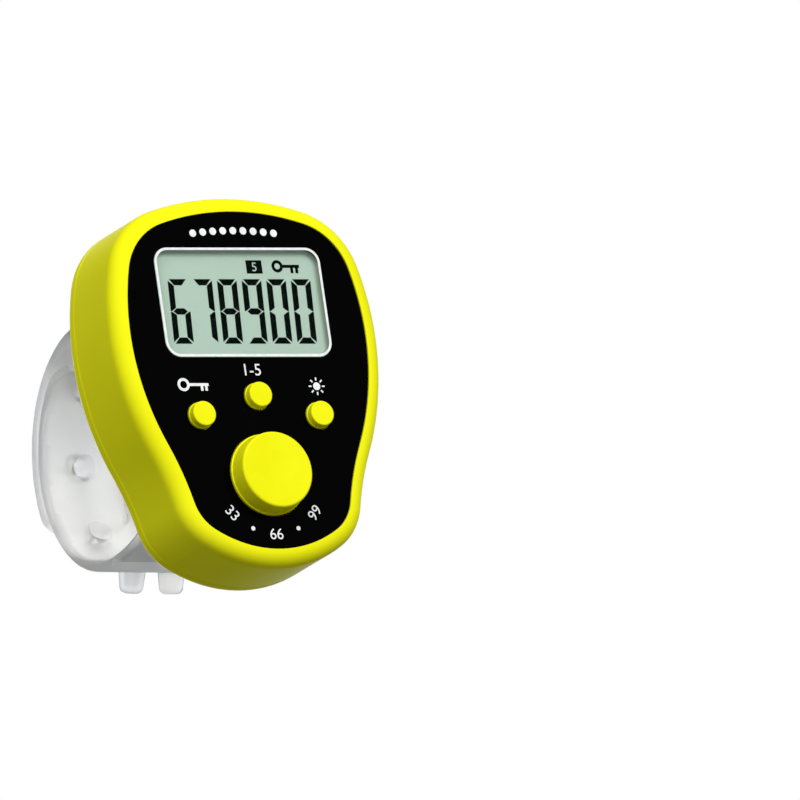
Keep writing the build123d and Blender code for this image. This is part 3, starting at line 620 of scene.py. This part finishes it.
def stem_stations(inner_radius, outer_radius):
    """Foot and stem: lines, half width, edge radius, hollow and distance of four smaller sections."""
    low, high = inner_radius - gusset_drop + stem_shoulder, outer_radius - stem_shoulder
    y = np.array([foot_y - foot_depth, foot_y, foot_y, back_y])
    lip = np.array([foot_lip, foot_lip, 0, 0])
    inner_line, outer_line = np.stack([y, low - lip], axis=1), np.stack([y, high + lip], axis=1)
    edge = np.full(len(y), stem_edge)
    hollow = flat_side_share * (high - low + 2 * lip)[:, None] * np.array([1, 1, 0])
    return inner_line, outer_line, stem_half_width + lip, edge, hollow, y - foot_lip - root_length


def gusset_hollow(s, inner_line, outer_line, inner_radius, slope):
    """Lip over the hollow, band under it and its depth at each station; the depth is 0 where none is."""
    root = np.clip(s, -gusset_reach, 0)
    arc = inner_radius - gusset_radius + np.sqrt((gusset_radius + hollow_lip) ** 2 - root**2)
    top = np.maximum(arc, inner_radius - gusset_drop + hollow_lip)
    low = (inner_radius - np.sin(slope) * s) / np.cos(slope)
    is_hollow = (s < 0) & (s > hollow_end - root_length) & (low > top)
    flat_side = flat_side_share * np.linalg.norm(outer_line - inner_line, axis=1)
    lip = np.where(is_hollow, top - inner_line[:, 1], flat_side)
    floor_band = np.where(is_hollow, outer_line[:, 1] - low, flat_side)
    return np.stack([lip, floor_band, hollow_depth * is_hollow], axis=1)


def band_stations(inner_radius, outer_radius, tip_turn, tip_corner, slope):
    """Lines, half width, edge radius, hollow and distance of each section, from the root to the tip."""
    end = tip_turn * inner_radius
    corner_end = np.arcsin(1 - band_edge / tip_corner)
    closing = np.radians(np.linspace(0, closing_degrees, closing_stations + 1)[1:])
    s = np.concatenate([
        np.linspace(-root_length, 0, root_stations)[:-1],
        np.linspace(0, end - tip_corner, loop_stations)[:-1],
        end - tip_corner * (1 - np.sin(np.linspace(0, corner_end, corner_stations))),
        end - band_edge * (1 - np.sin(closing)),
    ])
    inset = np.zeros(len(s))
    inset[-closing_stations:] = band_edge * (1 - np.cos(closing))
    inner_line = band_line(s, inner_radius, True, inner_radius, slope)
    outer_line = band_line(s, outer_radius, False, inner_radius, slope)
    through = outer_line - inner_line
    through /= np.linalg.norm(through, axis=1)[:, None]
    inner_line, outer_line = inner_line + inset[:, None] * through, outer_line - inset[:, None] * through
    to_tip = np.clip(tip_corner - (end - s), 0, tip_corner)
    width = band_half_width - tip_corner + np.sqrt(tip_corner**2 - to_tip**2) - inset
    edge = np.maximum(band_edge - inset, least_edge)
    hollow = gusset_hollow(s, inner_line, outer_line, inner_radius, slope)
    return inner_line, outer_line, width, edge, hollow, s


print("stations", root_stations, loop_stations, corner_stations, closing_stations)

# %% [markdown]
# ### Surface of a band
# The sections at all stations make one closed grid. Quads under the tiles are left out, the tiles fill them,
# and a many-sided face closes each end. The lower band is built like the upper one and then mirrored.

# %% Surface of a band
def band_surface(inner_radius, outer_radius, tip_turn, tip_corner, slope, inner_tiles, outer_tiles):
    """Grid of sections with its tiled quads left out, end caps, and for each tile its border rings."""
    stem = stem_stations(inner_radius, outer_radius)
    band = band_stations(inner_radius, outer_radius, tip_turn, tip_corner, slope)
    *measures, s = [np.concatenate(pair) for pair in zip(stem, band)]
    rings = band_rings(*measures)
    rows, columns = rings.shape[:2]
    quads = grid_quads(rows, columns, True).reshape(rows - 1, columns, 4)
    keep = np.ones((rows - 1, columns), bool)
    tiles = []
    plan = [(tile, 0, inner_radius, True) for tile in inner_tiles]
    plan += [(tile, outer_start, outer_radius, False) for tile in outer_tiles]
    for (centre, radius), first_column, face_radius, is_inner in plan:
        first, last = np.searchsorted(s, [centre - tile_reach, centre + tile_reach])
        keep[first:last, first_column:first_column + face_points - 1] = False
        row, column = tile_border(first, last, first_column)
        face = (face_radius, is_inner, inner_radius, slope)
        tiles.append(tile_rings(s[row], rings[row, column, 0], centre, radius, face))
    caps = [list(range(columns)), list(range((rows - 1) * columns, rows * columns))]
    print("sections", rows, "tiles", len(tiles))
    return (rings, quads[keep].tolist() + caps), tiles


def turned_over(parts):
    """The same parts mirrored about the horizontal plane, for the band that leaves the case's lower end."""
    return [(np.asarray(points).reshape(-1, 3) * (1, 1, -1), faces) for points, faces in parts]


# %% [markdown]
# ### Painted shade on the vinyl
# The band's sides get painted shade, more at the thick root, and the web in the hollow of the gusset gets the
# most. The face gets painted shade towards the top of the loop and in the funnels of the pegs. Each share is
# a ramp of a point's place, clipped to 0..1, and the largest one counts. Past the bright angle, at the free
# end of the inner band, light comes from all sides and no painted shade is left.

# %% Painted shade of a point
# Painted shade: how strongly the sides, the root, the gusset's web, the funnels and the loop top are greyed.
side_grey, root_grey, web_grey, funnel_grey = 0.38, 0.42, 0.8, 0.2
side_from, side_to = 4.5, 4.72
root_from, root_to = 2.0, -8.0
web_slack, peg_mouth = 0.01, 1.3


def ramp(value, start, end):
    """Share that rises from 0 at start to 1 at end."""
    return np.clip((value - start) / (end - start), 0, 1)


def store_painted_shade(piece, top_grey, top_angles, funnel_span=(0, 0), bright_angle=180):
    """Painted shade share of each point of a band, kept as an attribute of its mesh: the largest of four
    ramps.
    """
    mesh = piece.data
    points = np.empty(3 * len(mesh.vertices))
    mesh.vertices.foreach_get("co", points)
    x, y, z = (points / mm).reshape(-1, 3).T
    radius, angle = np.hypot(y, z), np.degrees(np.arctan2(z, y))
    side = ramp(np.abs(x), side_from, side_to)
    side *= side_grey + (root_grey - side_grey) * ramp(y, root_from, root_to)
    is_root = (y > back_y) & (y < 0)
    web = web_grey * (is_root & (np.abs(np.abs(x) - band_half_width + hollow_depth) < web_slack))
    is_funnel = (radius > funnel_span[0]) & (radius < funnel_span[1]) & (np.abs(x) < peg_mouth) & ~is_root
    share = np.max([side, web, funnel_grey * is_funnel, top_grey * ramp(angle, *top_angles)], axis=0)
    grey = mesh.attributes.new("painted_shade_share", "FLOAT", "POINT")
    grey.data.foreach_set("value", np.where(angle > bright_angle, 0.0, share))
    print(piece.name, "mean grey", round(float(share.mean()), 3))


# %% [markdown]
# ### Upper band
# The outer layer of the loop, with three round holes whose rims are rounded on both faces. Two of them sit
# over pegs. Each hole is three grids: the tile of the inner face with its rim, the wall, and the outer tile.

# %% Upper band
hole_radius, hole_round = 1.5, 0.15
hole_turns = np.radians(90 - np.array([8.0, 46.0, 84.0]))
upper_tip, upper_corner = np.radians(90 + 23.0), 2.0
# Painted shade towards the top of the loop, between these angles.
upper_grey, upper_grey_angles = 0.65, (35, 62)

hole_tiles = [(turn * upper_inner, hole_radius + hole_round) for turn in hole_turns]
body, tiles = band_surface(
    upper_inner, upper_outer, upper_tip, upper_corner, upper_slope, hole_tiles, hole_tiles
)
rim = np.radians(np.linspace(15, 90, 5))
rim_radii = hole_radius + hole_round * (1 - np.sin(rim))
in_levels = upper_inner + hole_round * (1 - np.cos(rim))
out_levels = upper_outer - hole_round * (1 - np.cos(rim))
wall_levels = [in_levels[-1], upper_outer - hole_round]
parts = [body]
for number, turn in enumerate(hole_turns):
    (inner_rings, angle), (outer_rings, outer_angle) = tiles[number], tiles[number + len(hole_turns)]
    in_rim = axis_rings(angle, turn, in_levels, rim_radii)
    out_rim = axis_rings(outer_angle, turn, out_levels, rim_radii)
    parts.append(ring_grid(np.concatenate([inner_rings, in_rim])))
    parts.append(ring_grid(axis_rings(angle, turn, wall_levels, [hole_radius] * 2)))
    parts.append(ring_grid(np.concatenate([outer_rings, out_rim])))
strap_upper = add_piece("strap_upper_band", parts, strap_clear, replaces=["strap_upper"])
store_painted_shade(strap_upper, upper_grey, upper_grey_angles)

# %% [markdown]
# ### Lower band
# The inner layer carries a row of pegs. From the finger's side a peg is a small funnel; from outside it is
# a tapered stud with a rounded end. The first stands on the sloping root, which is too thick for a funnel.
# Both are profiles turned about the peg's axis: a list of levels along it and a list of radii.

# %% Places of the pegs
peg_turns = np.radians(90 - np.array([106.0, 68.0, 30.0, -8.0, -46.0]))
axis_turns = np.maximum(peg_turns, lower_slope)
root_runs = (axis_turns - peg_turns) * lower_outer
root_places = lower_outer * np.sin(lower_slope) - root_runs * np.cos(lower_slope)
peg_places = np.where(root_runs > 0, root_places, peg_turns * loop_radius)
print("pegs", len(peg_turns), "of them on the root", int(np.sum(root_runs > 0)))

# %% Profiles of a peg
peg_root, peg_tip, peg_length, peg_skin = 1.4, 1.25, 2.3, 0.8
peg_fillet, peg_tip_round = 0.12, 0.7
funnel_edge, lip_depths, lip_steps = 0.1, (0.03, 0.12), (0.04, -0.03)
throat, core_end, floor_bevel, floor_step = 0.85, 0.6, 0.1, 0.15

tip_level = lower_outer + peg_length
floor_level = tip_level - peg_skin
funnel_levels = [
    loop_radius + lip_depths[0], loop_radius + lip_depths[1], lower_outer,
    floor_level - floor_bevel, floor_level, floor_level,
]
funnel_radii = [
    peg_mouth + lip_steps[0], peg_mouth + lip_steps[1], throat, core_end, core_end - floor_step, 0.0
]
fillet = np.radians(np.linspace(20, 90, 4))
bend = np.radians(np.linspace(0, 90, 7))
root_levels = lower_outer + peg_fillet * (1 - np.cos(fillet))
root_radii = peg_root + peg_fillet * (1 - np.sin(fillet))
end_levels = tip_level - peg_tip_round * (1 - np.sin(bend))
end_radii = peg_tip - peg_tip_round * (1 - np.cos(bend))
stud_levels = np.concatenate([root_levels, end_levels, [tip_level]])
stud_radii = np.concatenate([root_radii, end_radii, [0.0]])
print("levels of a funnel", len(funnel_levels), "and of a stud", len(stud_levels))

# %% Lower band
lower_tip, lower_corner = np.radians(90 + 64), 2.8
# Painted shade towards the top of the loop, none past the bright angle.
lower_grey, lower_grey_angles, bright_angle = 0.35, (0, 60), 62.5
funnel_slack = 0.05

inner_tiles = [(turn * loop_radius, peg_mouth + funnel_edge) for turn in peg_turns[1:]]
outer_tiles = [(place, peg_root + peg_fillet) for place in peg_places]
body, tiles = band_surface(
    loop_radius, lower_outer, lower_tip, lower_corner, lower_slope, inner_tiles, outer_tiles
)
parts = [body]
for (inner_rings, angle), turn in zip(tiles, peg_turns[1:]):
    funnel = axis_rings(angle, turn, funnel_levels, funnel_radii)
    parts.append(ring_grid(np.concatenate([inner_rings, funnel])))
for (outer_rings, angle), turn, run in zip(tiles[len(inner_tiles):], axis_turns, root_runs):
    stud = axis_rings(angle, turn, stud_levels, stud_radii, run)
    parts.append(ring_grid(np.concatenate([outer_rings, stud])))
strap_lower = add_piece(
    "strap_lower_band", turned_over(parts), strap_clear, replaces=["strap_lower"]
)
funnel_span = (loop_radius + funnel_slack, floor_level + funnel_slack)
store_painted_shade(strap_lower, lower_grey, lower_grey_angles, funnel_span, bright_angle)

# %% [markdown]
# ## Flat marks
# Every mark on the face and in the display is a thin slab. Lines and rings are a rectangle carried along a
# path: at each path point the two edges lie half a width to either side, and the slab's front and back are
# those edges at two depths. A disc is a ring whose inner edge closes in its middle.

# %% Ribbons and prisms
ink_height = 0.012


def ribbon(path, half_width, depth, closed=False):
    """Slab along a 2-D path: path plus and minus half a width along its normal, at two depths."""
    path = np.asarray(path, float)
    if closed:
        step = np.roll(path, -1, axis=0) - np.roll(path, 1, axis=0)
    else:
        step = np.gradient(path, axis=0)
    normal = np.stack([-step[:, 1], step[:, 0]], axis=1) / np.linalg.norm(step, axis=1)[:, None]
    first, second = path + normal * half_width, path - normal * half_width
    front = depth - ink_height
    corners = [(first, depth), (second, depth), (second, front), (first, front)]
    rings = np.stack([
        np.stack([edge[:, 0], np.full(len(edge), y), edge[:, 1]], axis=1) for edge, y in corners
    ], axis=1)
    if closed:
        rings = np.concatenate([rings, rings[:1]])
    quads = grid_quads(len(rings), 4, True).tolist()
    if not closed:
        last = 4 * (len(rings) - 1)
        quads += [[0, 1, 2, 3], [last, last + 1, last + 2, last + 3]]
    return rings, quads


def prism(outline, depth, thickness=ink_height):
    """Slab of a convex outline: the outline at a depth and in front of it, with its sides."""
    outline = np.asarray(outline, float)
    count = len(outline)
    layers = [np.stack([outline[:, 0], np.full(count, y), outline[:, 1]], axis=1)
              for y in (depth, depth - thickness)]
    sides = grid_quads(2, count, True).tolist()
    return np.vstack(layers), sides + [list(range(count)), list(range(count, 2 * count))]


print("ink height", ink_height, "mm")

# %% Paths of the marks
def circle_path(centre, radius, count=64):
    """Points on a circle: centre plus radius times cosine and sine."""
    angle = np.linspace(0, 2 * np.pi, count, endpoint=False)
    return np.stack([centre[0] + radius * np.cos(angle), centre[1] + radius * np.sin(angle)], axis=1)


def disc(centre, radius, depth, count=24):
    """Disc: a closed ribbon whose path and half width are both half the radius."""
    return ribbon(circle_path(centre, radius / 2, count), radius / 2, depth, closed=True)


def rounded_path(half_size, corner, level, count=17):
    """Rounded rectangle about X = 0: four quarter circles about the corners' middles, joined in turn."""
    angle = np.linspace(0, np.pi / 2, count)
    middles = np.array([(1, 1), (-1, 1), (-1, -1), (1, -1)]) * (np.array(half_size) - corner)
    turned = angle[None, :] + np.arange(4)[:, None] * np.pi / 2
    arcs = middles[:, None, :] + corner * np.stack([np.cos(turned), np.sin(turned)], axis=-1)
    return arcs.reshape(-1, 2) + (0, level)


def key_parts(ring_centre, ring_radius, line, length, depth):
    """Key seen from the side: a ring, a shaft to the right of it and two teeth under the shaft's end."""
    tooth_shares, foot_share = (1.0, 2.7), 2.2
    x, z = ring_centre
    start, end = x + ring_radius + line / 2, x + length
    top, foot = z - line / 2, z - foot_share * line
    parts = [
        ribbon(circle_path(ring_centre, ring_radius), line / 2, depth, closed=True),
        ribbon([(start, z), (end, z)], line / 2, depth),
    ]
    for share in tooth_shares:
        tooth_x = end - share * line
        parts.append(ribbon([(tooth_x, top), (tooth_x, foot)], line / 2, depth))
    return parts


# %% [markdown]
# ## Film of the display
# The film is a rounded plate just behind the window. A hair of air between the two keeps their faces apart,
# so that a ray never has to choose between them.

# %% Display film
film_y, film_back_y = -25.23, -24.95
window_half, window_level, window_corner, film_overlap = (9.9, 5.95), 8.48, 1.7, 0.25
film_half = np.array(window_half) + film_overlap
film_path = rounded_path(film_half, window_corner + film_overlap, window_level)
film_plate = prism(film_path, film_back_y, film_back_y - film_y)
add_piece("display_film", [film_plate], lcd_film, sharp_angle=20, replaces=["lcd_polariser"])

# %% [markdown]
# ## Digits of the display
# A digit has seven segments with mitred ends and a fine gap between neighbours. Each segment is a polygon on
# a small grid of levels; shrinking every polygon by half the gap opens the mitres evenly. The digits lean a
# little to the right.

# %% Seven segments
wide, high, bar, gap = 2.4, 7.06, 0.74, 0.07
cut, notch, point = 0.12, 0.2, 0.3
middle, inner_x, inner_z = high / 2, wide - bar, high - bar
above, below = middle + bar / 2, middle - bar / 2
segments = {
    "top": [(cut, high), (wide - cut, high), (inner_x, inner_z), (bar, inner_z)],
    "upper_right": [
        (wide, high - cut), (wide, middle), (wide - notch, middle), (inner_x, above), (inner_x, inner_z)
    ],
    "lower_right": [(inner_x, bar), (inner_x, below), (wide - notch, middle), (wide, middle), (wide, cut)],
    "bottom": [(bar, bar), (inner_x, bar), (wide - cut, 0), (cut, 0)],
    "lower_left": [(0, cut), (0, middle), (notch, middle), (bar, below), (bar, bar)],
    "upper_left": [(bar, inner_z), (bar, above), (notch, middle), (0, middle), (0, high - cut)],
    "middle": [
        (point, middle), (bar, above), (inner_x, above),
        (wide - point, middle), (inner_x, below), (bar, below),
    ],
}
lit = {
    "6": "top upper_left middle lower_left bottom lower_right", "7": "top upper_right lower_right",
    "8": " ".join(segments), "9": "top upper_left upper_right middle lower_right bottom",
    "0": "top upper_left upper_right lower_left lower_right bottom",
}
print("segments", len(segments), "digits", len(lit))

# %% Digits
digit_pitch, first_digit, digit_foot, lean = 2.93, -8.47, 4.15, np.tan(np.radians(2.3))


def shrink(outline, inset):
    """Convex polygon with every edge moved in: each corner moves along its two edge normals to meet both."""
    outline = np.asarray(outline, float)
    ahead = np.roll(outline, -1, axis=0) - outline
    ahead /= np.linalg.norm(ahead, axis=1)[:, None]
    area = np.sum(outline[:, 0] * np.roll(outline[:, 1], -1) - outline[:, 1] * np.roll(outline[:, 0], -1))
    inward = np.stack([-ahead[:, 1], ahead[:, 0]], axis=1) * np.sign(area)
    before = np.roll(inward, 1, axis=0)
    bisector = inward + before
    return outline + inset * bisector * (2 / np.sum(bisector**2, axis=1))[:, None]


parts = []
for place, digit in enumerate("678900"):
    for name in lit[digit].split():
        outline = shrink(segments[name], gap / 2)
        x = first_digit + place * digit_pitch + outline[:, 0] + outline[:, 1] * lean
        parts.append(prism(np.stack([x, digit_foot + outline[:, 1]], axis=1), film_y))
add_piece("display_digits", parts, lcd_ink, sharp_angle=20)

# %% [markdown]
# ## Signs in the display
# Over the digits sit a dark box with the channel's number in it and a small key that shows the lock. For
# small figures the font that Blender carries is enough: a text curve is turned into a mesh, read back as an
# array, scaled to its height, and set down where it belongs with its front towards the viewer.

# %% Numbers as mesh parts
def number_part(text, height, centre, depth, turn=0.0):
    """Text as a thin slab: its points scaled to the height, turned about their middle and moved to centre."""
    curve = bpy.data.curves.new("number", "FONT")
    curve.body = text
    curve.extrude = 0.5
    shell = bpy.data.objects.new("number", curve)
    bpy.context.scene.collection.objects.link(shell)
    mesh = bpy.data.meshes.new_from_object(shell.evaluated_get(bpy.context.evaluated_depsgraph_get()))
    points = np.empty(3 * len(mesh.vertices))
    mesh.vertices.foreach_get("co", points)
    points = points.reshape(-1, 3)
    faces = [list(face.vertices) for face in mesh.polygons]
    bpy.data.objects.remove(shell)
    bpy.data.curves.remove(curve)
    bpy.data.meshes.remove(mesh)
    low, high = points.min(axis=0), points.max(axis=0)
    flat = (points[:, :2] - (low + high)[:2] / 2) * height / (high - low)[1]
    cosine, sine = np.cos(turn), np.sin(turn)
    x = centre[0] + cosine * flat[:, 0] - sine * flat[:, 1]
    z = centre[1] + sine * flat[:, 0] + cosine * flat[:, 1]
    y = depth - ink_height * np.where(points[:, 2] > 0, 1.0, 0.0)
    return np.stack([x, y, z], axis=1), faces


# %% Display signs
(box_left, box_foot), (box_right, box_top) = (1.41, 11.78), (3.29, 13.22)
box = [(box_left, box_foot), (box_right, box_foot), (box_right, box_top), (box_left, box_top)]
lock_key = key_parts((5.11, 12.57), ring_radius=0.5, line=0.34, length=2.6, depth=film_y)
add_piece("display_signs", [prism(box, film_y)] + lock_key, lcd_ink, sharp_angle=20)
box_middle = ((box_left + box_right) / 2, (box_foot + box_top) / 2)
channel_number = number_part("5", height=0.95, centre=box_middle, depth=film_y - ink_height)
add_piece("display_channel", [channel_number], lcd_film)

# %% [markdown]
# ## Marks printed on the face
# A white line frames the window. Over the small buttons stand a key for the lock, the numbers of the
# channels and a lamp for the light, and under the count button a row of numbers follows its curve. A string
# of bead dots fills the strip over the window. Slabs of ink, and not a picture, keep every edge sharp.

# %% Window frame
frame_inset, frame_half_width = 0.2, 0.13
frame_half = np.array(window_half) - frame_inset
frame_path = rounded_path(frame_half, window_corner - frame_inset, window_level)
frame_line = ribbon(frame_path, frame_half_width, face_y, closed=True)
add_piece("window_frame", [frame_line], print_white)

# %% Button signs
key_sign = key_parts((-8.48, -0.46), ring_radius=0.56, line=0.3, length=2.95, depth=face_y)
channel_sign = number_part("1-5", height=1.25, centre=(-0.05, 1.14), depth=face_y)
bulb_middle, bulb_radius = np.array((7.3, -0.65)), 0.42
ray_count, ray_in, ray_out, ray_half_width = 8, 0.62, 0.95, 0.08
ray_angle = np.arange(ray_count) * 2 * np.pi / ray_count
rays = [
    ribbon([bulb_middle + ray_in * unit, bulb_middle + ray_out * unit], ray_half_width, face_y)
    for unit in np.stack([np.cos(ray_angle), np.sin(ray_angle)], axis=1)
]
bulb = disc(bulb_middle, bulb_radius, face_y, count=64)
add_piece("button_signs", key_sign + [channel_sign, bulb] + rays, print_white)

# %% Numbers under the count button
count_place, curve_radius, number_height, dot_radius = (0.0, -10.24), 6.35, 1.17, 0.24


def on_curve(angle):
    """Point at an angle on the curve round the count button."""
    return count_place[0] + curve_radius * np.cos(angle), count_place[1] + curve_radius * np.sin(angle)


parts = []
for text, degrees in (("33", -140), ("66", -90), ("99", -40)):
    angle = np.radians(degrees)
    parts.append(number_part(text, number_height, on_curve(angle), face_y, angle + np.pi / 2))
for degrees in (-115, -65):
    parts.append(disc(on_curve(np.radians(degrees)), dot_radius, face_y))
add_piece("count_signs", parts, print_white)

# %% Bead string over the window
bead_count, bead_reach, bead_level, bead_sag, bead_radius = 9, 4.8, 16.2, 0.012, 0.4
bead_x = np.linspace(-bead_reach, bead_reach, bead_count)
bead_z = bead_level - bead_sag * bead_x**2
beads = [disc(place, bead_radius, face_y) for place in zip(bead_x, bead_z)]
add_piece("bead_signs", beads, print_white)

# %% [markdown]
# ## Light and sky
# The counter floats before white. Soft light comes from the front and above; a weaker lamp on the left lights
# the side of the case and reaches into the loop behind it, and the weakest lamp keeps the back of the strap
# from going dark. An even sky fills the shadows. The sky is white for the camera, in mirrors and through
# clear parts, and dimmer where it only gives light.

# %% Sky
ambient = 0.2
sky = bpy.data.worlds.new("sky")
bpy.context.scene.world = sky
sky.use_nodes = True
tree = sky.node_tree
light_path = tree.nodes.new("ShaderNodeLightPath").outputs
beyond = calculate(tree, "MAXIMUM", light_path["Is Glossy Ray"], light_path["Is Transmission Ray"])
seen = calculate(tree, "MAXIMUM", light_path["Is Camera Ray"], beyond)
strength = remap(tree, seen, ambient, 1.0, start=0.0, end=1.0)
feed(tree, tree.nodes["Background"], {"Color": (1, 1, 1, 1), "Strength": strength})
print("ambient light", ambient)

# %% Lamps
def lamp(name, place, size, watts):
    """Square soft lamp at a place in millimetres, facing the counter."""
    light = bpy.data.lights.new(name, "AREA")
    light.size = size * mm
    light.energy = watts
    holder = bpy.data.objects.new(name, light)
    bpy.context.scene.collection.objects.link(holder)
    holder.location = Vector(place) * mm
    holder.rotation_euler = (-Vector(place)).to_track_quat("-Z", "Y").to_euler()
    print(name, watts, "W at", place)


lamp("key_lamp", (60, -780, 320), size=400, watts=4.9)
lamp("fill_lamp", (-640, -540, 490), size=500, watts=3.35)
lamp("back_lamp", (0, 820, 150), size=500, watts=1.8)

# %% View transform
bpy.context.scene.view_settings.view_transform = "Standard"
